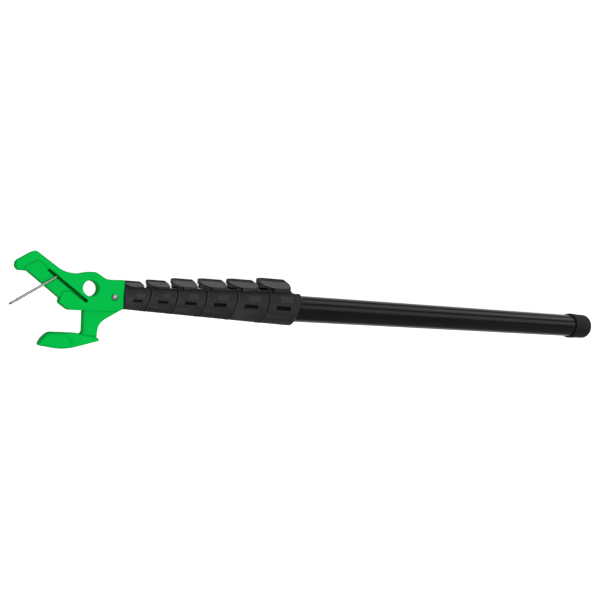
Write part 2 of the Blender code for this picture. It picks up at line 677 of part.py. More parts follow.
def build_gate_spring(parent, material):
    """Outer shape of the fine coil spring round the leg, at the bottom of the slot."""
    bottom = UPPER_HALF_THICKNESS - SLOT_DEPTH + GAP
    spring = ring_along_z("gate_spring", GATE_LEG_RADIUS + GAP, SLOT_WIDTH / 2 - GAP, 8.0, 16)
    return place(spring, parent, material, HEAD_REAR_X + GATE_PIVOT[0], GATE_PIVOT[1], bottom)


# --- assembly ---------------------------------------------------------------------------------------

def build_pole():
    green = make_material("green_plastic", (0.0, 0.52, 0.05), 0.4)
    clamp_black = make_material("clamp_plastic", (0.03, 0.03, 0.032), 0.5)
    lever_black = make_material("lever_plastic", (0.05, 0.05, 0.052), 0.45)
    tube_black = make_material("tube_finish", (0.006, 0.006, 0.006), 0.15)
    rubber = make_material("cap_rubber", (0.018, 0.018, 0.018), 0.75)
    steel = make_material("bright_steel", (0.6, 0.6, 0.61), 0.2, 1.0)
    spring_steel = make_material("spring_steel", (0.3, 0.3, 0.3), 0.35, 1.0)
    pin_black = make_material("blackened_steel", (0.03, 0.03, 0.03), 0.4, 1.0)
    inner_plastic = make_material("inner_plastic", (0.35, 0.35, 0.34), 0.55)
    shoe_rubber = make_material("shoe_rubber", (0.04, 0.04, 0.04), 0.8)

    sections = {}
    outward = None
    for number in range(TUBE_COUNT, 0, -1):
        section = bpy.data.objects.new(f"section_{number}", None)
        bpy.context.scene.collection.objects.link(section)
        section.parent = outward
        sections[number] = section
        outward = section

    for number in range(1, TUBE_COUNT + 1):
        build_tube(number, sections[number], tube_black)
    for number in range(1, CLAMP_COUNT + 1):
        carrier = sections[number + 1]
        build_tail_bush(number, sections[number], inner_plastic)
        build_clamp(number, carrier, clamp_black)
        build_lever(number, carrier, lever_black)
        build_lever_pin(number, carrier, pin_black)
        build_brake_shoe(number, carrier, shoe_rubber)
    build_end_cap(sections[TUBE_COUNT], rubber)
    build_head(sections[1], green)
    build_head_screw(sections[1], steel)
    build_tip_plug(sections[1], inner_plastic)
    build_gate_rod(sections[1], steel)
    build_gate_clip(sections[1], spring_steel)
    build_gate_spring(sections[1], spring_steel)


for leftover in list(bpy.data.objects):
    bpy.data.objects.remove(leftover, do_unlink=True)
build_pole()
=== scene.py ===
"""Looks for the telescopic long-reach hook pole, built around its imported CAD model.

Sizes are in millimetres, and MM turns them into metres. The pole's axis is X, the flat head's face
normal is +Z, and "up" in an outline means towards the lever side, -Y. The pieces are modelled in
millimetres and scaled when their mesh is finished.
"""
import json
import math

import bmesh
import bpy
from mathutils import Matrix, Vector


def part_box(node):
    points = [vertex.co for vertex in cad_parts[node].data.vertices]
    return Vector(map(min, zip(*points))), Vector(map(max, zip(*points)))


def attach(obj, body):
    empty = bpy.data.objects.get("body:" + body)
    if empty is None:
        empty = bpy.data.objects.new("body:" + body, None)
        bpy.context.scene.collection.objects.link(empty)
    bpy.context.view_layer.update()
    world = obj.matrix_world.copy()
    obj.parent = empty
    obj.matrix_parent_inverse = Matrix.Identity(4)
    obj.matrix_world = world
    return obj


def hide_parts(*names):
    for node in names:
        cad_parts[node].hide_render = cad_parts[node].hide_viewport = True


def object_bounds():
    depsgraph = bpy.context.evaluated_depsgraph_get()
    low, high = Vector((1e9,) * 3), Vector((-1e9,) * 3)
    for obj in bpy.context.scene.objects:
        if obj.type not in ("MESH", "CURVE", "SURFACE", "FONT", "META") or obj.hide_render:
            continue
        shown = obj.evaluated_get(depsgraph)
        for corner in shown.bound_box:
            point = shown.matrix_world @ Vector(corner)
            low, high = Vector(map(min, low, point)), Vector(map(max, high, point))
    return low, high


MM = 0.001
SECTIONS = 7
CLAMPS = 6

# Head: corners are (forward, up, corner radius) from the middle of the neck's rear face, and each
# part has its half thickness.
UPPER_HALF = 10.0
WEB_HALF = 8.0
FOOT_HALF = 9.7
TOE_HALF = 11.0
TOE_ROUND = 4.5
HEAD_EDGE = 1.5         # rounding of the head's long edges
HEAD_CORNER = HEAD_EDGE + 0.4    # least corner radius that this rounding leaves room for
TOE_PROUD = 0.15        # of the toe's side walls over the foot's
FOOT_LAP = 5.2          # of the foot's rear part, hidden under the toe pad
PANEL_DEPTH = 1.8
EYE_CENTRE = (38.3, 8.8)
EYE_RADIUS = 9.35
EYE_LIP = 1.1
SLOT_ENDS = ((85.3, 25.6), (43.0, -5.9))
SLOT_WIDTH = 3.6
SLOT_DEPTH = 13.0
SCREW_FORWARD = 10.9
SCREW_HOLE = 2.3
SCREW_SHANK = 1.8
SCREW_HEAD = 3.4
SCREW_SEAT = 3.8
SOCKET_DEPTH = 27.0
SOCKET_EASE = 0.3
BEYOND = 2.0            # that a cutting tool reaches past the face it cuts
GATE_PIVOT = (77.0, 19.2)
GATE_ANGLE = -34.6
GATE_LENGTH = 59.3
GATE_RADIUS = 1.5
GATE_BEND = 2.5
LEG_RADIUS = 0.8
CLIP_SEAT = 3.6

UPPER_OUTLINE = (
    (0.0, 20.9, 0.6), (21.0, 20.0, 14.0), (33.5, 27.8, 10.0), (43.5, 27.5, 14.0), (56.0, 24.2, 24.0),
    (70.0, 25.7, 28.0), (101.4, 47.4, 5.0), (120.4, 34.6, 7.0), (121.6, 23.6, 6.0), (108.0, 24.0, 3.0),
    (71.4, -4.2, 0.5), (73.2, -9.0, 3.5), (61.5, -17.2, 9.0), (7.5, -16.5, 2.0), (0.0, -12.3, 0.6),
)
WEB_OUTLINE = (
    (0.3, -8.0, 0.0), (45.0, -10.0, 0.0), (44.1, -42.6, 3.5), (50.0, -44.6, 0.0), (50.0, -50.2, 0.0),
    (28.7, -50.2, 0.0), (27.6, -30.6, 18.0), (0.3, -13.3, 0.0),
)
FOOT_OUTLINE = (
    (44.0, -44.5, 2.0), (52.0, -42.6, 8.0), (82.0, -42.6, 9.0), (89.4, -50.5, 8.0), (92.8, -58.2, 1.8),
    (64.0, -62.6, 60.0), (23.2, -50.4, 1.6), (30.4, -45.8, 1.5),
)
TOE_CREASE = ((65.5, -38.0), (58.0, -48.0), (54.6, -54.5), (53.6, -66.0))    # rear edge of the toe pad
PANEL_OUTLINE = (
    (110.0, 22.0, 0.0), (113.0, 27.0, 0.5), (97.6, 37.4, 6.0), (86.5, 28.2, 1.0), (43.4, -4.6, 0.0),
    (45.2, -7.0, 0.0), (61.0, 3.6, 3.0), (69.6, 3.2, 4.0), (72.6, -6.0, 0.0), (96.0, -6.0, 0.0),
)

# Tubes.
OUTER_DIAMETER = 35.0
TUBE_WALL = 1.2
TUBE_EDGE = 0.3

# Clamps: the barrel's taper and the places of the side slots, as in the CAD. Sizes named "share" are
# for the largest clamp, and shrink with the tube that the clamp sits on.
BARREL_RADIUS = 22.3
BARREL_RADIUS_X = 565.9
BARREL_TAPER = 0.0428
SLOT_SETBACK = 15.1
SLOT_SETBACK_STEP = 1.25
SLOT_DROP = 2.4
SLOT_DROP_STEP = 0.28
CLAMP_SLANT = 0.25
CLAMP_SPACING = 0.6
CLAMP_EDGE = 0.6
CLAMP_LEAD = 5.0        # share: of the clamp's front ahead of its tube's end
CLAMP_BEVEL = 0.3
RIM_WIDTH = 1.5
RIM_RISE = 0.32
PAD_SHIFT = -5.5        # share: from the side slot's middle
PAD_HALF_LENGTH = 9.4
PAD_RISE = 7.0
PAD_HEIGHT = 8.6
SLOT_SHADE_HALF = (11.5, 3.4)
LEVER_HALF_WIDTH = 8.5
LEVER_SLOPE = 4.0       # share: of the slope along the lever's top edges
LEVER_BEVEL = 0.45
TONGUE_HALF_WIDTH = 3.6
TONGUE_GAP = 0.22       # over the next clamp's deck

# White studio floor with a wall that curves up far away on every side.
BACKDROP_RADIUS = 24000.0
BACKDROP_CURVE = 4000.0
BACKDROP_HEIGHT = 26000.0
BACKDROP_X = 450.0
BACKDROP_GLOW = 0.85
FLOOR_GAP = 0.2         # under the pole's lowest point
ROOM_GLOW = 0.2

# White surface below the pole that only its reflections see.
GLOW_DEPTH = 300.0
GLOW_HALF_WIDTH = 680.0
GLOW_HALF_LENGTH = 900.0
GLOW_FRONT = 400.0
GLOW_STRENGTH = 0.4

# Soft boxes: the side that one stands on as (x, y), then its elevation in degrees, its distance, width
# and length in metres, its radiance, its middle along X, and the kind of ray that doesn't see it.
LEVER_SIDE = (0.0, -1.0)
FOOT_SIDE = (0.0, 1.0)
FRONT_SIDE = (1.0, 0.0)
LIGHTS = {
    "low_strip": (LEVER_SIDE, 18.0, 1.4, 0.8, 3.4, 1.0, -0.6, "diffuse"),
    "high_strip": (LEVER_SIDE, 70.5, 1.5, 0.8, 3.4, 0.8, -0.6, "diffuse"),
    "key": (FOOT_SIDE, 78.0, 1.9, 1.4, 2.6, 2.55, 1.1, "glossy"),
    "head_card": (LEVER_SIDE, 90.0, 1.6, 0.7, 1.1, 1.0, 0.62, "diffuse"),
    "front_fill": (FRONT_SIDE, 25.0, 2.0, 1.0, 1.2, 1.5, 0.85, "glossy"),
}

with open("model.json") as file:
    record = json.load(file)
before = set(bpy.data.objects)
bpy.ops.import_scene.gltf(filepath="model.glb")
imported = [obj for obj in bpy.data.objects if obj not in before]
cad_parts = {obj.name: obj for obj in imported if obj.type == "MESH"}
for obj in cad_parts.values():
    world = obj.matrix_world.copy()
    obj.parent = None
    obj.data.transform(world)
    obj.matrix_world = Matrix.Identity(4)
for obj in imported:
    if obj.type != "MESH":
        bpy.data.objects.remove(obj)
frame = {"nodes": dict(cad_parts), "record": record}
cad_box = [list(corner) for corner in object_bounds()]
node_body = {node: body for body, nodes in frame["record"]["behaviour"]["bodies"].items()
             for node in nodes}
scene = bpy.context.scene
HEAD_REAR_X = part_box("hook_head")[0].x / MM


# --- camera -------------------------------------------------------------------------------------------

def add_camera():
    right = Vector((-0.8746, -0.0523, 0.4821))
    up = Vector((0.0597, -0.9982, 0.0))
    back = Vector((0.4812, 0.0288, 0.8761))
    eye = Vector((1.02208, 0.01676, 0.87264))
    data = bpy.data.cameras.new("camera")
    data.lens = 45.0
    data.sensor_width = 36.0
    data.clip_start = 0.01
    camera = bpy.data.objects.new("camera", data)
    scene.collection.objects.link(camera)
    camera.matrix_world = Matrix(((right.x, up.x, back.x, eye.x), (right.y, up.y, back.y, eye.y),
                                  (right.z, up.z, back.z, eye.z), (0, 0, 0, 1)))
    scene.camera = camera


# --- materials ----------------------------------------------------------------------------------------

def new_material(name, base, roughness, metallic=0.0, specular=0.5):
    material = bpy.data.materials.new(name)
    material.use_nodes = True
    shader = material.node_tree.nodes["Principled BSDF"]
    shader.inputs["Base Color"].default_value = (*base, 1.0)
    shader.inputs["Roughness"].default_value = roughness
    shader.inputs["Metallic"].default_value = metallic
    shader.inputs["Specular IOR Level"].default_value = specular
    return material, material.node_tree, shader


def add_node(tree, kind, **inputs):
    node = tree.nodes.new(kind)
    for name, value in inputs.items():
        node.inputs[name.replace("_", " ")].default_value = value
    return node


def object_noise(tree, scale, detail=3.0, roughness=0.5, stretch=(1.0, 1.0, 1.0)):
    """Noise that stays with the object, at so many features per metre."""
    place = tree.nodes.new("ShaderNodeTexCoord")
    mapping = tree.nodes.new("ShaderNodeMapping")
    mapping.inputs["Scale"].default_value = stretch
    noise = add_node(tree, "ShaderNodeTexNoise", Scale=scale, Detail=detail, Roughness=roughness)
    tree.links.new(place.outputs["Object"], mapping.inputs["Vector"])
    tree.links.new(mapping.outputs["Vector"], noise.inputs["Vector"])
    return noise.outputs["Fac"]


def ramp(tree, source, low, high, first, last):
    """Colour ramp between two colours over part of the source's range."""
    node = tree.nodes.new("ShaderNodeValToRGB")
    node.color_ramp.elements[0].position = low
    node.color_ramp.elements[1].position = high
    node.color_ramp.elements[0].color = (*first, 1.0)
    node.color_ramp.elements[1].color = (*last, 1.0)
    tree.links.new(source, node.inputs["Fac"])
    return node.outputs["Color"]


def spread(tree, source, low, high):
    node = tree.nodes.new("ShaderNodeMapRange")
    node.inputs["From Min"].default_value = 0.3
    node.inputs["From Max"].default_value = 0.7
    node.inputs["To Min"].default_value = low
    node.inputs["To Max"].default_value = high
    tree.links.new(source, node.inputs["Value"])
    return node.outputs["Result"]


def bump(tree, source, strength, distance, below=None):
    node = add_node(tree, "ShaderNodeBump", Strength=strength, Distance=distance)
    tree.links.new(source, node.inputs["Height"])
    if below is not None:
        tree.links.new(below, node.inputs["Normal"])
    return node.outputs["Normal"]


def shade_hollows(tree, colour, reach, depth):
    """Painted shade: the colour darkened in corners, seams and recesses where ambient occlusion finds less
    light, within a reach in metres.
    """
    hollow = add_node(tree, "ShaderNodeAmbientOcclusion", Distance=reach)
    hollow.samples = 8
    shade = ramp(tree, hollow.outputs["AO"], 0.25, 0.95, (1 - depth,) * 3, (1.0, 1.0, 1.0))
    mix = tree.nodes.new("ShaderNodeMix")
    mix.data_type = "RGBA"
    mix.blend_type = "MULTIPLY"
    mix.inputs["Factor"].default_value = 1.0
    tree.links.new(colour, mix.inputs["A"])
    tree.links.new(shade, mix.inputs["B"])
    return mix.outputs["Result"]


def moulded_plastic(name, base, variation, roughness, specular, grain, grain_depth, worn=None, hollow_shade=0.5,
                    reach=0.004):
    """Injection-moulded plastic: fine spark grain, slow flow marks in colour and gloss, soft edge wear, and
    painted shade in its corners and recesses.
    """
    material, tree, shader = new_material(name, base, roughness, specular=specular)
    flow = object_noise(tree, 32.0, 2.0, 0.55, (0.5, 1.0, 1.0))
    dark = tuple(channel * (1 - variation) for channel in base)
    light = tuple(channel * (1 + variation) for channel in base)
    colour = ramp(tree, flow, 0.3, 0.7, dark, light)
    if worn:
        geometry = tree.nodes.new("ShaderNodeNewGeometry")
        edge = ramp(tree, geometry.outputs["Pointiness"], 0.52, 0.6, (0, 0, 0), (0.5, 0.5, 0.5))
        mix = tree.nodes.new("ShaderNodeMix")
        mix.data_type = "RGBA"
        tree.links.new(edge, mix.inputs["Factor"])
        tree.links.new(colour, mix.inputs["A"])
        mix.inputs["B"].default_value = (*worn, 1.0)
        colour = mix.outputs["Result"]
    # painted shade: ambient occlusion darkens the colour in corners, seams and recesses
    colour = shade_hollows(tree, colour, reach, hollow_shade)
    tree.links.new(colour, shader.inputs["Base Color"])
    rough = spread(tree, object_noise(tree, 220.0, 3.0), roughness - 0.05, roughness + 0.06)
    tree.links.new(rough, shader.inputs["Roughness"])
    fine = bump(tree, object_noise(tree, grain, 2.0), 0.35, grain_depth)
    soft = bump(tree, object_noise(tree, 120.0, 2.0), 0.15, 0.00008, fine)
    tree.links.new(soft, shader.inputs["Normal"])
    return material


def coated_tube():
    """Gloss black coating on drawn aluminium: faint drawing lines along the tube and dust specks."""
    base = (0.0055, 0.0055, 0.0057)
    material, tree, shader = new_material("tube_black", base, 0.2, specular=0.34)
    lines = object_noise(tree, 260.0, 2.0, 0.5, (0.02, 1.0, 1.0))
    colour = ramp(tree, lines, 0.3, 0.75, (0.0045, 0.0045, 0.0047), (0.0085, 0.0085, 0.0088))
    tree.links.new(colour, shader.inputs["Base Color"])
    rough = spread(tree, object_noise(tree, 60.0, 4.0, 0.6, (0.3, 1.0, 1.0)), 0.13, 0.21)
    tree.links.new(rough, shader.inputs["Roughness"])
    drawn = bump(tree, lines, 0.12, 0.00004)
    peel = bump(tree, object_noise(tree, 700.0, 1.0), 0.06, 0.00004, drawn)
    tree.links.new(peel, shader.inputs["Normal"])
    return material


def soft_rubber(name, base, roughness):
    material, tree, shader = new_material(name, base, roughness, specular=0.3)
    bloom = object_noise(tree, 45.0, 5.0, 0.6)
    dark = tuple(channel * 0.8 for channel in base)
    light = tuple(channel * 1.7 for channel in base)
    colour = ramp(tree, bloom, 0.35, 0.75, dark, light)
    tree.links.new(colour, shader.inputs["Base Color"])
    rough = spread(tree, object_noise(tree, 300.0, 3.0), roughness - 0.08, roughness + 0.08)
    tree.links.new(rough, shader.inputs["Roughness"])
    grain = bump(tree, object_noise(tree, 2600.0, 2.0), 0.4, 0.00006)
    tree.links.new(grain, shader.inputs["Normal"])
    return material


def brushed_metal(name, base, roughness, stretch):
    material, tree, shader = new_material(name, base, roughness, metallic=1.0)
    scratch = object_noise(tree, 900.0, 3.0, 0.6, stretch)
    dark = tuple(channel * 0.82 for channel in base)
    light = tuple(min(1, channel * 1.1) for channel in base)
    colour = ramp(tree, scratch, 0.3, 0.7, dark, light)
    tree.links.new(colour, shader.inputs["Base Color"])
    rough = spread(tree, scratch, roughness - 0.06, roughness + 0.08)
    tree.links.new(rough, shader.inputs["Roughness"])
    tree.links.new(bump(tree, scratch, 0.1, 0.00003), shader.inputs["Normal"])
    return material


# Every moulded plastic gets painted shade in its hollows; the green's wider reach paints the soft shade
# under the neck's step and along the panel's edges.
GREEN = moulded_plastic("head_green", (0.0004, 0.61, 0.08), 0.03, 0.45, 0.02, 1500.0, 0.00006, hollow_shade=0.5,
                        reach=0.006)
CLAMP = moulded_plastic("clamp_black", (0.0185, 0.0185, 0.0188), 0.12, 0.52, 0.24, 1700.0, 0.0001,
                        worn=(0.06, 0.06, 0.062))
# Lighter copy of the clamp's plastic for the raised pads and end rims: painted light, so they read as the
# lit panel and bright edge beads.
PAD_LIT = moulded_plastic("clamp_pad_painted_light", (0.034, 0.034, 0.0345), 0.12, 0.48, 0.3, 2300.0, 0.00012)
LEVER = moulded_plastic("lever_black", (0.098, 0.098, 0.099), 0.08, 0.5, 0.2, 1700.0, 0.0001,
                        worn=(0.14, 0.14, 0.14))
# Darker copy of the lever's plastic for its up-facing faces: painted shade.
LEVER_SHADED_TOP = moulded_plastic("lever_top_painted_shade", (0.034, 0.034, 0.0345), 0.1, 0.55, 0.12, 1700.0, 0.0001,
                            worn=(0.1, 0.1, 0.1))
# Near-black for the sheets in the side slots and the tongues under the lever tips: painted shade.
SHADE = moulded_plastic("recess_painted_shade", (0.006, 0.006, 0.006), 0.2, 0.8, 0.05, 900.0, 0.0001)
TUBE = coated_tube()
CAP = soft_rubber("cap_rubber_black", (0.012, 0.012, 0.012), 0.62)
SHOE = soft_rubber("shoe_rubber_black", (0.03, 0.03, 0.03), 0.8)
STEEL = brushed_metal("steel_bright", (0.68, 0.67, 0.68), 0.24, (0.04, 1.0, 1.0))
SPRING = brushed_metal("steel_spring", (0.42, 0.42, 0.43), 0.34, (1.0, 1.0, 0.2))
WHITE = moulded_plastic("guide_plastic", (0.45, 0.45, 0.43), 0.05, 0.5, 0.4, 1500.0, 0.00006)


# --- mesh tools ----------------------------------------------------------------------------------------

def finish_mesh(name, builder, material, angle=32.0, weighted=True):
    """Object from a bmesh in millimetres: normals out, smooth with sharp edges, one material."""
    bmesh.ops.recalc_face_normals(builder, faces=builder.faces)
    bmesh.ops.scale(builder, vec=(MM, MM, MM), verts=builder.verts)
    mesh = bpy.data.meshes.new(name)
    builder.to_mesh(mesh)
    builder.free()
    mesh.materials.append(material)
    piece = bpy.data.objects.new(name, mesh)
    scene.collection.objects.link(piece)
    smooth(piece, angle, weighted)
    return piece


def smooth(piece, angle=32.0, weighted=True):
    piece.data.shade_smooth()
    piece.data.set_sharp_from_angle(angle=math.radians(angle))
    if weighted:
        modifier = piece.modifiers.new("weighted_normals", "WEIGHTED_NORMAL")
        modifier.keep_sharp = True
        modifier.weight = 80


def settle(piece, node):
    """The piece stands for the CAD node, on the same body; the node itself is hidden."""
    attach(piece, node_body[node])
    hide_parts(node)
    return piece


def rounded(corners, least=0.0, arc_step=6.0):
    """Outline through the corners (x, y, radius), each corner turned into an arc of its radius."""
    points = []
    count = len(corners)
    for index, (x, y, radius) in enumerate(corners):
        corner = Vector((x, y))
        before = (Vector(corners[index - 1][:2]) - corner).normalized()
        after = (Vector(corners[(index + 1) % count][:2]) - corner).normalized()
        radius = max(radius, least)
        if radius == 0.0:
            points.append((x, y))
            continue
        opening = before.angle(after)
        turn = math.pi - opening
        reach = radius / math.tan(opening / 2)
        centre = corner + (before + after).normalized() * radius / math.sin(opening / 2)
        start = corner + before * reach - centre
        sign = 1.0 if before.x * after.y - before.y * after.x < 0 else -1.0
        steps = max(2, math.ceil(math.degrees(turn) / arc_step))
        for step in range(steps + 1):
            angle = sign * turn * step / steps
            spoke_x = start.x * math.cos(angle) - start.y * math.sin(angle)
            spoke_y = start.x * math.sin(angle) + start.y * math.cos(angle)
            points.append((centre.x + spoke_x, centre.y + spoke_y))
    return points


def arc(centre, radius, first, last, steps):
    points = []
    for step in range(steps + 1):
        angle = math.radians(first + (last - first) * step / steps)
        points.append((centre[0] + radius * math.cos(angle), centre[1] + radius * math.sin(angle)))
    return points


def inset(points, amount):
    """The outline moved inwards by an amount, or outwards by a negative one."""
    area = sum(points[i - 1][0] * points[i][1] - points[i][0] * points[i - 1][1]
               for i in range(len(points)))
    side = 1.0 if area > 0 else -1.0
    moved = []
    for index in range(len(points)):
        here = Vector(points[index])
        before = (here - Vector(points[index - 1])).normalized()
        after = (Vector(points[(index + 1) % len(points)]) - here).normalized()
        normal = Vector((-before.y - after.y, before.x + after.x)) * side
        if normal.length < 1e-9:
            normal = Vector((-before.y, before.x)) * side
        normal.normalize()
        lean = max(0.5, normal.dot(Vector((-before.y, before.x)) * side))
        moved.append(tuple(here + normal * amount / lean))
    return moved


def loft(name, rings, material, closed=False, smooth_angle=32.0):
    """Skin over rings of points that all have the same count, with flat ends."""
    builder = bmesh.new()
    made = [[builder.verts.new(point) for point in ring] for ring in rings]
    pairs = list(zip(made, made[1:]))
    if closed:
        pairs.append((made[-1], made[0]))
    for first, second in pairs:
        count = len(first)
        for index in range(count):
            following = (index + 1) % count
            builder.faces.new((first[index], first[following], second[following], second[index]))
    if not closed:
        builder.faces.new(made[0])
        builder.faces.new(made[-1])
    return finish_mesh(name, builder, material, smooth_angle)


def soft_prism(name, outline, half, edge, steps=4):
    """Green plate from an outline of (forward, up) points, with rounded edges round both faces."""
    bottom = []
    for step in range(steps + 1):
        turn = math.radians(90 * step / steps)
        bottom.append((-half + edge - edge * math.cos(turn), edge - edge * math.sin(turn)))
    top = [(-z, amount) for z, amount in reversed(bottom)]
    rings = []
    for z, amount in bottom + top:
        ring = inset(outline, amount) if amount > 1e-6 else outline
        rings.append([(x, -up, z) for x, up in ring])
    return loft(name, rings, GREEN)


def cutter(name, outline, z_low, z_high, flare=0.0):
    """Tool for cutting a pocket or a hole. With a flare, its mouth at z_high has a rounded lip."""
    levels = [(z_low, 0.0)]
    if flare:
        for step in range(3, -1, -1):
            turn = math.radians(30 * step)
            levels.append((z_high - flare * math.sin(turn), -flare * (1 - math.sin(turn))))
    levels.append((z_high + BEYOND, -flare))
    rings = [[(x, -up, z) for x, up in inset(outline, amount)] for z, amount in levels]
    return loft(name, rings, GREEN)


def circle(centre, radius, count=48):
    return arc(centre, radius, 0, 360 - 360 / count, count - 1)


def turned(name, profile, material, segments=96, closed=False, angle=32.0):
    """Solid turned about X from (x, radius) points. An open profile starts and ends on the axis."""
    builder = bmesh.new()
    rings = []
    for x, radius in profile:
        if radius <= 1e-6:
            rings.append([builder.verts.new((x, 0.0, 0.0))])
            continue
        ring = []
        for index in range(segments):
            turn = 2 * math.pi * index / segments
            ring.append(builder.verts.new((x, radius * math.cos(turn), radius * math.sin(turn))))
        rings.append(ring)
    pairs = list(zip(rings, rings[1:]))
    if closed:
        pairs.append((rings[-1], rings[0]))
    for first, second in pairs:
        for index in range(segments):
            following = (index + 1) % segments
            if len(first) == 1:
                builder.faces.new((first[0], second[index], second[following]))
            elif len(second) == 1:
                builder.faces.new((first[index], first[following], second[0]))
            else:
                builder.faces.new((first[index], first[following], second[following], second[index]))
    return finish_mesh(name, builder, material, angle)


def block(name, low, high):
    builder = bmesh.new()
    bmesh.ops.create_cube(builder, size=1.0)
    size = Vector(high) - Vector(low)
    middle = (Vector(high) + Vector(low)) / 2
    bmesh.ops.scale(builder, vec=size, verts=builder.verts)
    bmesh.ops.translate(builder, vec=middle, verts=builder.verts)
    return finish_mesh(name, builder, GREEN)


def combine(target, tools, operation):
    """Booleans applied at once. The tools are removed."""
    target.modifiers.clear()
    for tool in tools:
        tool.modifiers.clear()
        modifier = target.modifiers.new(tool.name, "BOOLEAN")
        modifier.operation = operation
        modifier.solver = "EXACT"
        modifier.object = tool
    depsgraph = bpy.context.evaluated_depsgraph_get()
    mesh = bpy.data.meshes.new_from_object(target.evaluated_get(depsgraph))
    old = target.data
    material = old.materials[0]
    target.modifiers.clear()
    target.data = mesh
    mesh.materials.clear()
    mesh.materials.append(material)
    bpy.data.meshes.remove(old)
    for tool in tools:
        bpy.data.objects.remove(tool, do_unlink=True)
    smooth(target)


def refined(node, material, bevel=0.0, segments=2, angle=30.0):
    """A clean copy of a CAD node's mesh: facets merged, smooth round faces and softened edges."""
    mesh = frame["nodes"][node].data.copy()
    mesh.materials.clear()
    mesh.materials.append(material)
    builder = bmesh.new()
    builder.from_mesh(mesh)
    bmesh.ops.remove_doubles(builder, verts=builder.verts, dist=2e-6)
    bmesh.ops.dissolve_limit(builder, angle_limit=math.radians(0.4), verts=builder.verts,
                             edges=builder.edges)
    bmesh.ops.recalc_face_normals(builder, faces=builder.faces)
    for face in builder.faces:
        face.material_index = 0
    builder.to_mesh(mesh)
    builder.free()
    custom = mesh.attributes.get("custom_normal")
    if custom:
        mesh.attributes.remove(custom)
    piece = bpy.data.objects.new(node + "_fine", mesh)
    scene.collection.objects.link(piece)
    soften(piece, bevel, segments, angle)
    return settle(piece, node)


def soften(piece, bevel, segments, angle):
    """Smooth round faces, rounded edges and even shading across the flat ones."""
    piece.modifiers.clear()
    piece.data.shade_smooth()
    piece.data.set_sharp_from_angle(angle=math.radians(angle))
    if bevel:
        modifier = piece.modifiers.new("soft_edges", "BEVEL")
        modifier.width = bevel * MM
        modifier.segments = segments
        modifier.limit_method = "ANGLE"
        modifier.angle_limit = math.radians(angle)
        modifier.use_clamp_overlap = True
        modifier.harden_normals = False
        modifier.miter_outer = "MITER_ARC"
    weighted = piece.modifiers.new("weighted_normals", "WEIGHTED_NORMAL")
    weighted.keep_sharp = True


# --- pieces --------------------------------------------------------------------------------------------

def foot_part(forward, lap=0.0):
    """The part of the foot's outline ahead of the toe pad's crease, or behind it."""
    foot = rounded(FOOT_OUTLINE, HEAD_CORNER, 3.0)
    crease = [(x + lap, up) for x, up in TOE_CREASE]
    sign = 1.0 if forward else -1.0

    def beyond(point):
        for (x0, up0), (x1, up1) in zip(crease, crease[1:]):
            if up1 <= point[1] <= up0:
                return sign * (point[0] - (x0 + (x1 - x0) * (up0 - point[1]) / (up0 - up1)))
        return -1.0

    kept = []
    for index, point in enumerate(foot):
        following = foot[(index + 1) % len(foot)]
        here, there = beyond(point), beyond(following)
        if here > 0:
            kept.append(point)
        if here * there < 0:
            kept.append(tuple(Vector(point).lerp(Vector(following), here / (here - there))))
            if here > 0:
                kept += reversed(crease[1:-1]) if forward else crease[1:-1]
    return kept


def pillow(name, outline, half, edge):
    """Pad with big rounded edges, its outline shrinking about its middle towards both faces."""
    xs = [point[0] for point in outline]
    ups = [point[1] for point in outline]
    centre = Vector(((min(xs) + max(xs)) / 2, (min(ups) + max(ups)) / 2))
    reach = Vector(((max(xs) - min(xs)) / 2, (max(ups) - min(ups)) / 2))
    levels = []
    steps = 7
    for step in range(steps + 1):
        turn = math.radians(90 * step / steps)
        levels.append((half - edge + edge * math.sin(turn), edge * (1 - math.cos(turn))))
    rings = []
    for z, amount in [(-z, amount) for z, amount in reversed(levels)] + levels:
        share = (1 - amount / reach.x, 1 - amount / reach.y)
        rings.append([(centre.x + (x - centre.x) * share[0], -(centre.y + (up - centre.y) * share[1]), z)
                      for x, up in outline])
    return loft(name, rings, GREEN)


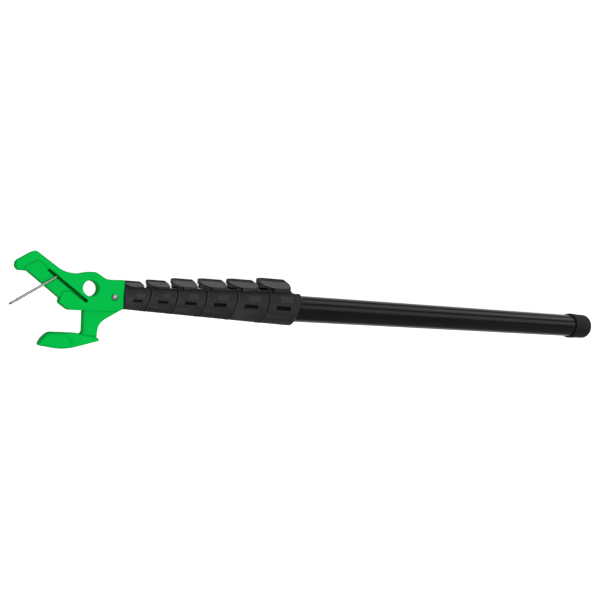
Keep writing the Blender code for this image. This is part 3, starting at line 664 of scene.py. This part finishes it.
def build_head():
    """Green head, built at its own origin so that the booleans don't depend on where it stands."""
    head = soft_prism("hook_head_fine", rounded(UPPER_OUTLINE, HEAD_CORNER), UPPER_HALF, HEAD_EDGE)
    web = soft_prism("head_web", rounded(WEB_OUTLINE, HEAD_CORNER), WEB_HALF, HEAD_EDGE)
    foot = soft_prism("head_foot", inset(foot_part(False, FOOT_LAP), TOE_PROUD), FOOT_HALF, HEAD_EDGE)
    toe = pillow("head_toe", foot_part(True), TOE_HALF, TOE_ROUND)
    combine(head, [web, foot, toe], "UNION")

    bore = round(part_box("tube_1")[1].y / MM, 2) + SOCKET_EASE
    mouth = bore + 0.5
    socket = turned("head_socket", ((-BEYOND, 0.0), (-BEYOND, mouth), (0.0, mouth), (0.5, bore),
                                    (SOCKET_DEPTH, bore), (SOCKET_DEPTH, 0.0)), GREEN, 64)
    eye = cutter("head_eye", circle(EYE_CENTRE, EYE_RADIUS, 64), -UPPER_HALF - BEYOND, UPPER_HALF, EYE_LIP)
    screw_at = (SCREW_FORWARD, 0.0)
    screw_hole = cutter("head_screw_hole", circle(screw_at, SCREW_HOLE, 32), 0.0, UPPER_HALF)
    screw_seat = cutter("head_screw_seat", circle(screw_at, SCREW_SEAT, 48), UPPER_HALF - 1.2, UPPER_HALF,
                        0.4)
    panel = cutter("head_panel", rounded(PANEL_OUTLINE, 0.3), UPPER_HALF - PANEL_DEPTH, UPPER_HALF, 0.5)
    start, end = (Vector(point) for point in SLOT_ENDS)
    heading = math.degrees(math.atan2(end.y - start.y, end.x - start.x))
    slot_outline = arc(start, SLOT_WIDTH / 2, heading + 90, heading + 270, 12)
    slot_outline += arc(end, SLOT_WIDTH / 2, heading - 90, heading + 90, 12)
    slot = cutter("head_slot", slot_outline, UPPER_HALF - SLOT_DEPTH, UPPER_HALF)
    leg = cutter("head_leg_bore", circle(GATE_PIVOT, LEG_RADIUS + 0.3, 24), -UPPER_HALF - BEYOND, 0.0)
    clip_seat = cutter("head_clip_seat", circle(GATE_PIVOT, CLIP_SEAT, 40), -UPPER_HALF - BEYOND,
                       -UPPER_HALF + 0.4)
    combine(head, [socket, eye, screw_hole, screw_seat, panel, slot, leg, clip_seat], "DIFFERENCE")
    head.data.transform(Matrix.Translation((HEAD_REAR_X * MM, 0.0, 0.0)))
    settle(head, "hook_head")


def build_screw():
    """Domed pan head with a cross recess, and its shank."""
    x = HEAD_REAR_X + SCREW_FORWARD
    low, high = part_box("head_screw")
    bottom = low.z / MM
    seat = UPPER_HALF - 0.9
    crown = high.z / MM
    rim = seat + 0.7
    profile = [(bottom, 0.0), (bottom + 1.4, 1.2), (bottom + 3.0, SCREW_SHANK), (seat, SCREW_SHANK),
               (seat, SCREW_HEAD - 0.2), (seat + 0.2, SCREW_HEAD), (rim, SCREW_HEAD)]
    for step in range(1, 9):
        turn = math.radians(90 * step / 8)
        profile.append((rim + (crown - rim) * math.sin(turn), SCREW_HEAD * math.cos(turn)))
    profile[-1] = (crown, 0.0)
    screw = turned("head_screw_fine", profile, STEEL, 48)
    tools = []
    for index, (wide, high_half) in enumerate(((0.42, 2.3), (2.3, 0.42))):
        corners = [(-wide, -high_half), (wide, -high_half), (wide, high_half), (-wide, high_half)]
        rings = [[(x_level, share * a, share * b) for a, b in corners]
                 for x_level, share in ((crown - 1.5, 0.45), (crown + 0.5, 1.1))]
        tools.append(loft(f"screw_recess_{index}", rings, STEEL))
    combine(screw, tools, "DIFFERENCE")
    screw.rotation_euler = (math.radians(12.0), -math.pi / 2, 0.0)
    screw.location = (x * MM, 0.0, 0.0)
    settle(screw, "head_screw")


def build_gate():
    """Bent wire with a slim root and a turned groove near its rounded end.

    Each station along it is (forward, height, turn of the wire, radius).
    """
    height = UPPER_HALF - PANEL_DEPTH
    arm = GATE_RADIUS + 0.5
    leg_end = -(UPPER_HALF * 2 - PANEL_DEPTH) + 0.6
    stations = [(0.0, leg_end, 0.0, LEG_RADIUS * 0.7), (0.0, leg_end + 0.3, 0.0, LEG_RADIUS),
                (0.0, arm - GATE_BEND, 0.0, LEG_RADIUS)]
    for degrees in range(10, 91, 10):
        turn = math.radians(degrees)
        stations.append((GATE_BEND * (1 - math.cos(turn)), arm - GATE_BEND * (1 - math.sin(turn)), turn,
                         LEG_RADIUS + 0.15 * degrees / 90))
    for along, radius in ((10.0, 1.12), (20.0, 1.36), (30.0, 1.47)):
        stations.append((along, arm, math.pi / 2, radius))
    for short_of_end, radius in ((9.0, 1.5), (8.6, 1.48), (8.2, 1.15), (6.6, 1.15), (6.2, 1.48), (3.0, 1.48),
                                 (1.4, 1.3), (0.6, 1.0), (0.15, 0.6), (0.0, 0.25)):
        stations.append((GATE_LENGTH - short_of_end, arm, math.pi / 2, radius))
    rings = []
    for forward, up, turn, radius in stations:
        ring = []
        for index in range(24):
            angle = 2 * math.pi * index / 24
            across = radius * math.cos(angle)
            ring.append((forward + across * math.cos(turn), radius * math.sin(angle),
                         up - across * math.sin(turn)))
        rings.append(ring)
    rod = loft("gate_rod_fine", rings, STEEL, smooth_angle=40.0)
    rod.rotation_euler = (0.0, 0.0, math.radians(-GATE_ANGLE))
    rod.location = ((HEAD_REAR_X + GATE_PIVOT[0]) * MM, -GATE_PIVOT[1] * MM, height * MM)
    settle(rod, "gate_rod")


def build_coil():
    """Small torsion spring round the gate rod's leg."""
    low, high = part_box("gate_spring")
    wire = 0.22
    turns = 9
    turn_steps = 20
    centre = ((low.x + high.x) / 2 / MM, (low.y + high.y) / 2 / MM)
    radius = (high.x - low.x) / 2 / MM - wire - 0.05
    bottom = low.z / MM + wire
    top = high.z / MM - wire
    path = []
    for step in range(turns * turn_steps + 1):
        turn = 2 * math.pi * step / turn_steps
        path.append(Vector((centre[0] + radius * math.cos(turn), centre[1] + radius * math.sin(turn),
                            bottom + (top - bottom) * step / (turns * turn_steps))))
    rings = []
    for index, point in enumerate(path):
        ahead = path[min(index + 1, len(path) - 1)]
        behind = path[max(index - 1, 0)]
        along = (ahead - behind).normalized()
        out = Vector((point.x - centre[0], point.y - centre[1], 0.0)).normalized()
        third = along.cross(out)
        ring = []
        for side in range(8):
            angle = 2 * math.pi * side / 8
            ring.append(tuple(point + wire * (out * math.cos(angle) + third * math.sin(angle))))
        rings.append(ring)
    coil = loft("gate_coil", rings, SPRING, smooth_angle=60.0)
    settle(coil, "gate_spring")


def build_cap():
    """Rubber butt cap: a proud lip at its mouth, a shallow groove, a rounded end and a dished face."""
    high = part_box("end_cap")[1]
    outer = high.z / MM
    length = high.x / MM
    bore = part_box("tube_7")[1].z / MM + 0.05
    body = outer - 0.15
    lip = outer + 0.45
    corner = 4.2
    profile = [(1.2, 0.0), (1.2, 9.0), (0.9, 11.0), (0.2, 12.2), (0.0, 13.2)]
    profile += arc((corner, body - corner), corner, 180, 90, 10)
    profile += [(22.6, body), (23.2, body - 0.25), (23.8, body), (24.4, lip - 0.25), (25.0, lip)]
    profile += [(length - 1.2, lip), (length - 0.5, lip - 0.2), (length - 0.12, lip - 0.7),
                (length, lip - 1.2), (length, bore + 0.7), (length - 0.6, bore)]
    profile += [(5.0, bore), (4.2, bore - 1.0), (4.2, 0.0)]
    cap = turned("end_cap_fine", profile, CAP, 128)
    settle(cap, "end_cap")


def build_tubes():
    """Smooth round tubes with softened ends, and the window that the brake shoe reaches through."""
    for number in range(1, SECTIONS + 1):
        node = f"tube_{number}"
        low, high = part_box(node)
        radius = high.y / MM
        rear, front = low.x / MM, high.x / MM
        inner = radius - TUBE_WALL
        edge = TUBE_EDGE
        profile = [(rear + edge, inner), (rear, inner + edge), (rear, radius - edge), (rear + edge, radius),
                   (front - edge, radius), (front, radius - edge), (front, inner + edge),
                   (front - edge, inner)]
        tube = turned(node + "_fine", profile, TUBE, 128, closed=True)
        if number == 1:
            x = HEAD_REAR_X + SCREW_FORWARD
            tool = cutter("tube_hole", circle((x, 0.0), SCREW_HOLE, 32), 0.0, radius)
        else:
            shoe_low, shoe_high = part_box(f"brake_shoe_{number - 1}")
            ease = 0.3
            tool = block("tube_window",
                         (shoe_low.x / MM - ease, -radius - BEYOND, shoe_low.z / MM - ease),
                         (shoe_high.x / MM + ease, -inner + 3.0, shoe_high.z / MM + ease))
        combine(tube, [tool], "DIFFERENCE")
        settle(tube, node)


def barrel_radius(x):
    return BARREL_RADIUS - BARREL_TAPER * (x - BARREL_RADIUS_X)


def clamp_scale(number):
    """Size of a clamp's details against the largest clamp's."""
    return (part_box(f"tube_{number + 1}")[1].y / MM) * 2 / OUTER_DIAMETER


def clamp_front(number):
    """Front face of a clamp on the pole's axis, from the tube that stops behind it."""
    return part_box(f"tube_{number + 1}")[1].x / MM + 0.3 + CLAMP_LEAD * clamp_scale(number)


def side_slot(number):
    """Middle of a clamp's side slot, and how far it lies towards the levers."""
    middle = clamp_front(number) - SLOT_SETBACK - SLOT_SETBACK_STEP * (number - 1)
    return middle, SLOT_DROP_STEP * (number - 1) - SLOT_DROP


def on_clamp(piece, number):
    """A detail that the CAD doesn't have rides on its clamp's body."""
    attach(piece, node_body[f"clamp_{number}"])


def build_pads():
    """Raised finger pad on each flank of each clamp, between the side slot and the lever, in a lighter copy
    of the clamp's plastic: painted light.
    """
    for number in range(1, CLAMPS + 1):
        scale = clamp_scale(number)
        slot_middle, slot_up = side_slot(number)
        middle = slot_middle + PAD_SHIFT * scale
        half = PAD_HALF_LENGTH * scale
        radius = barrel_radius(middle)
        up_low = slot_up + PAD_RISE * scale
        up_high = up_low + PAD_HEIGHT * scale
        first = math.asin(up_low / radius)
        last = math.asin(min(0.93, up_high / radius))
        for side, side_name in ((1, "near"), (-1, "far")):
            rings = [pad_ring(middle, half - shrink, first, last, shrink, rise, side)
                     for rise, shrink in ((-0.6, 0.0), (0.05, 0.0), (0.28, 0.22), (0.36, 0.55))]
            on_clamp(loft(f"clamp_pad_{number}_{side_name}", rings, PAD_LIT), number)


def pad_ring(middle, half, first, last, shrink, rise, side, along=10, around=8):
    """Closed ring of points round a patch of the barrel, at a height above it."""
    angle_low = first + shrink / barrel_radius(middle)
    angle_high = last - shrink / barrel_radius(middle)
    spots = []
    for step in range(along):
        spots.append((middle - half + 2 * half * step / along, angle_low))
    for step in range(around):
        spots.append((middle + half, angle_low + (angle_high - angle_low) * step / around))
    for step in range(along):
        spots.append((middle + half - 2 * half * step / along, angle_high))
    for step in range(around):
        spots.append((middle - half, angle_high - (angle_high - angle_low) * step / around))
    ring = []
    for x, angle in spots:
        radius = barrel_radius(x) + rise
        ring.append((x, -radius * math.sin(angle), side * radius * math.cos(angle)))
    return ring


def build_slot_shade_sheets():
    """Near-black sheet sunk behind each side slot, painted shade for the deep slot, so the slots don't show
    the tube's gloss.
    """
    for number in range(1, CLAMPS + 1):
        scale = clamp_scale(number)
        middle, slot_up = side_slot(number)
        radius = barrel_radius(middle)
        half_length, half_height = (size * scale for size in SLOT_SHADE_HALF)
        first = math.asin((slot_up - half_height) / radius)
        last = math.asin((slot_up + half_height) / radius)
        for side, side_name in ((1, "near"), (-1, "far")):
            rings = [pad_ring(middle, half_length, first, last, 0.0, rise, side) for rise in (-1.5, -0.9)]
            on_clamp(loft(f"slot_shade_sheet_{number}_{side_name}", rings, SHADE), number)


def build_rims():
    """Thin raised bands that edge the clamps' front and rear ends, broken at the levers' decks, in the same
    lighter copy of the clamp's plastic: painted light along the ends.
    """
    section = ((-0.5, -0.3), (-0.42, 0.55), (-0.25, 0.95), (0.25, 0.95), (0.42, 0.55), (0.5, -0.3))
    steps = 72
    from_end = CLAMP_EDGE + RIM_WIDTH / 2 + 0.2
    for number in range(1, CLAMPS + 1):
        places = [("front", clamp_front(number) - from_end, 0.0 if number == 1 else CLAMP_SLANT)]
        if number < CLAMPS:
            places.append(("rear", clamp_front(number + 1) + CLAMP_SPACING + from_end, CLAMP_SLANT))
        for end, x, slant in places:
            radius = barrel_radius(x)
            start = math.degrees(math.asin((LEVER_HALF_WIDTH * clamp_scale(number) + 1.2) / radius))
            rings = []
            for step in range(steps + 1):
                turn = math.radians(start + (360 - 2 * start) * step / steps)
                taper = min(1.0, step / 3, (steps - step) / 3)
                ring = []
                for offset, rise in section:
                    height = RIM_RISE * rise * (taper if rise > 0 else 1.0)
                    y = -(radius + height) * math.cos(turn)
                    ring.append((x + offset * RIM_WIDTH + slant * y, y, (radius + height) * math.sin(turn)))
                rings.append(ring)
            on_clamp(loft(f"clamp_rim_{end}_{number}", rings, PAD_LIT), number)


def build_lever(number):
    """The CAD lever with a deeper slope along both long top edges, whose up-facing faces are painted darker
    as shade.
    """
    low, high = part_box(f"lever_{number}")
    top = -low.y / MM
    half = high.z / MM
    slope = LEVER_SLOPE * half / LEVER_HALF_WIDTH
    lever = refined(f"lever_{number}", LEVER)
    edge_up, edge_out = top - slope, half - 0.8 * slope
    corners = ((edge_up, half + 0.01), (edge_up, half + 1.0), (top + 1.0, half + 1.0),
               (top + 1.0, edge_out), (top + 0.01, edge_out))
    tools = []
    for side in (-1, 1):
        rings = [[(x, -up, side * z) for up, z in corners]
                 for x in (low.x / MM - 1.0, high.x / MM + 1.0)]
        tools.append(loft(f"lever_slope_{side}", rings, LEVER))
    combine(lever, tools, "DIFFERENCE")
    # painted shade: faces turned towards the lever side get the darker copy of the lever's plastic
    lever.data.materials.append(LEVER_SHADED_TOP)
    for face in lever.data.polygons:
        if face.normal.y < -0.4 and abs(face.normal.x) < 0.5:
            face.material_index = 1
    soften(lever, LEVER_BEVEL, 2, 25.0)


def build_tongues():
    """Low tongue under each tip's rest that closes the gap over the next clamp's deck, coloured near-black
    as painted shade.
    """
    for number in range(2, CLAMPS + 1):
        scale = clamp_scale(number)
        lever_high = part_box(f"lever_{number}")[1]
        next_seat = -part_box(f"lever_{number - 1}")[1].y / MM - 0.3
        rear = clamp_front(number) + CLAMP_SPACING
        deck = min(barrel_radius(rear) + 0.35, next_seat - 0.1)
        start = clamp_front(number) - CLAMP_SLANT * deck - 0.8
        end = lever_high.x / MM - scale
        half = TONGUE_HALF_WIDTH * scale
        top = -lever_high.y / MM
        tongue = block(f"clamp_tongue_{number}", (start, -top, -half), (end, -deck - TONGUE_GAP, half))
        # painted shade: near-black for the shadowed wedge under the lever's tip
        tongue.data.materials[0] = SHADE
        soften(tongue, 0.25, 2, 30.0)
        on_clamp(tongue, number)


def build_pin(number):
    """Hinge pin with flush moulded heads."""
    low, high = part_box(f"lever_pin_{number}")
    radius = (high.x - low.x) / 2 / MM
    half = high.z / MM + 0.35
    head = radius + 0.22
    profile = [(-half, 0.0), (-half, radius), (-half + 0.2, head), (1.4 - half, head), (1.4 - half, radius)]
    profile += [(-x, r) for x, r in reversed(profile)]
    pin = turned(f"lever_pin_{number}_fine", profile, LEVER, 32)
    pin.rotation_euler = (0.0, math.pi / 2, 0.0)
    pin.location = ((low.x + high.x) / 2, (low.y + high.y) / 2, 0.0)
    settle(pin, f"lever_pin_{number}")


def build_clamps():
    """Each clamp with its lever, pin and brake shoe, and the guide bush of its inner tube."""
    for number in range(1, CLAMPS + 1):
        refined(f"clamp_{number}", CLAMP, CLAMP_BEVEL)
        build_lever(number)
        build_pin(number)
        refined(f"brake_shoe_{number}", SHOE, 0.15)
        refined(f"tail_bush_{number}", WHITE, 0.2)


# --- studio --------------------------------------------------------------------------------------------

def add_light(name, side, elevation, distance, width, length, radiance, middle_x, unseen_by):
    """Soft box at an elevation above a side: its length lies along X, or along Y at the front."""
    turn = math.radians(elevation)
    away = Vector((side[0] * math.cos(turn), side[1] * math.cos(turn), math.sin(turn)))
    data = bpy.data.lights.new(name, "AREA")
    data.shape = "RECTANGLE"
    data.size = length
    data.size_y = width
    data.energy = radiance * math.pi * length * width
    light = bpy.data.objects.new(name, data)
    scene.collection.objects.link(light)
    place = away * distance + Vector((middle_x, 0.0, 0.0))
    along = Vector((abs(side[1]), abs(side[0]), 0.0))
    top = away.cross(along)
    light.matrix_world = Matrix(((along.x, top.x, away.x, place.x), (along.y, top.y, away.y, place.y),
                                 (along.z, top.z, away.z, place.z), (0, 0, 0, 1)))
    light.visible_diffuse = unseen_by != "diffuse"
    light.visible_glossy = unseen_by != "glossy"


def glowing_white(name, strength):
    material, _, shader = new_material(name, (0.8, 0.8, 0.8), 0.6, specular=0.1)
    shader.inputs["Emission Color"].default_value = (1.0, 1.0, 1.0, 1.0)
    shader.inputs["Emission Strength"].default_value = strength
    return material


def add_stage():
    """White floor and backdrop, the surface below that only reflections see, and the lights."""
    floor_z = min(corner[2] for corner in cad_box)
    profile = [(0.0, 0.0), (0.0, BACKDROP_RADIUS)]
    profile += [(BACKDROP_CURVE - BACKDROP_CURVE * math.cos(math.radians(15 * step)),
                 BACKDROP_RADIUS + BACKDROP_CURVE * math.sin(math.radians(15 * step)))
                for step in range(1, 7)]
    profile.append((BACKDROP_HEIGHT, BACKDROP_RADIUS + BACKDROP_CURVE))
    floor = turned("floor", profile, glowing_white("floor_white", BACKDROP_GLOW))
    floor.rotation_euler = (0.0, -math.pi / 2, 0.0)
    floor.location = (BACKDROP_X * MM, 0.0, floor_z - FLOOR_GAP * MM)
    floor.visible_diffuse = False
    floor.visible_glossy = False

    builder = bmesh.new()
    bmesh.ops.create_grid(builder, x_segments=4, y_segments=4, size=1.0)
    bmesh.ops.scale(builder, vec=(GLOW_HALF_LENGTH, GLOW_HALF_WIDTH, 1.0), verts=builder.verts)
    glow = finish_mesh("under_glow", builder, glowing_white("under_glow", GLOW_STRENGTH), weighted=False)
    glow.location = ((GLOW_FRONT - GLOW_HALF_LENGTH) * MM, 0.0, -GLOW_DEPTH * MM)
    glow.visible_camera = False
    glow.visible_diffuse = False
    glow.visible_shadow = False

    world = bpy.data.worlds.new("studio")
    world.use_nodes = True
    world.node_tree.nodes["Background"].inputs["Color"].default_value = (1.0, 1.0, 1.0, 1.0)
    world.node_tree.nodes["Background"].inputs["Strength"].default_value = ROOM_GLOW
    scene.world = world
    scene.view_settings.view_transform = "Standard"
    scene.view_settings.look = "None"
    scene.view_settings.exposure = 0.0
    scene.view_settings.gamma = 1.0

    for name, setting in LIGHTS.items():
        add_light(name, *setting)


add_camera()
build_head()
build_screw()
build_gate()
build_coil()
build_cap()
build_tubes()
build_clamps()
build_pads()
build_slot_shade_sheets()
build_rims()
build_tongues()
refined("tip_plug", WHITE, 0.2)
refined("gate_clip", SPRING, 0.15)
add_stage()
